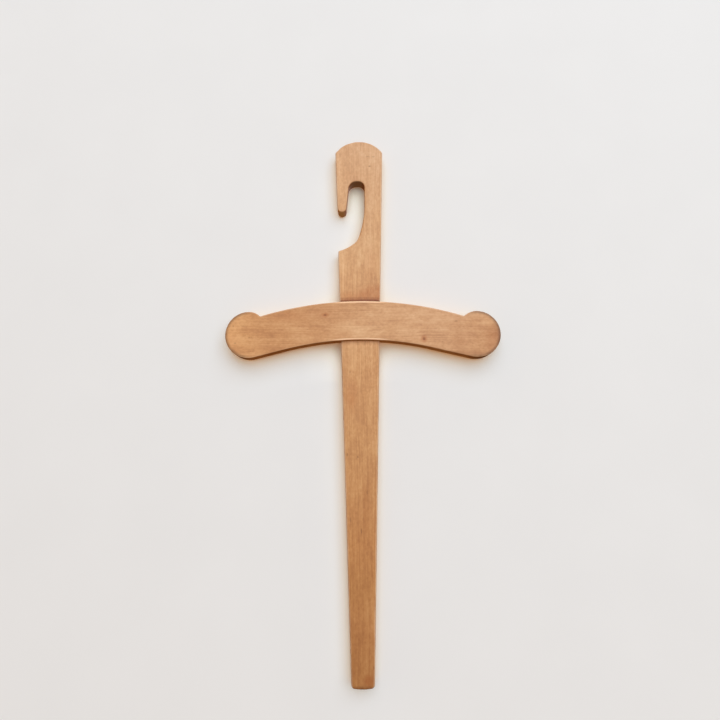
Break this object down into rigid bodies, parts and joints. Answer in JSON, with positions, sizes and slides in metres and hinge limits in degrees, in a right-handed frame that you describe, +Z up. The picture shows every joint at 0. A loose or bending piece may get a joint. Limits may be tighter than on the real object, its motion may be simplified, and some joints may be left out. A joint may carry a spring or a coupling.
{
  "type": "clothes hanger",
  "caption": "Long wooden clothes hanger: an upright board with a hook cut in its head and a tapering reach-up handle, and an arched shoulder board with round ends.",
  "frame": {"origin": "crown of the hook's throat, at half the upright board's thickness: the point that rests on the rail", "axes": "+Z up as the hanger hangs, +X to the right seen from the front, away from the hook's mouth, +Y towards the flat back; the shoulder board is on the -Y side"},
  "size_m": [0.3979, 0.027, 0.7806],
  "materials": {
    "bar_wood": "old waxed pale hardwood, satin, straight grain along the board, darker towards the handle's end",
    "crossbar_wood": "old waxed pale hardwood, satin, straight grain from knob to knob, rounded worn edges",
    "screw_steel": "dull aged steel, slotted"
  },
  "bodies": {
    "root": {"hook_bar": "bar_wood", "crossbar": "crossbar_wood", "upper_screw": "screw_steel", "lower_screw": "screw_steel"}
  },
  "joints": []
}
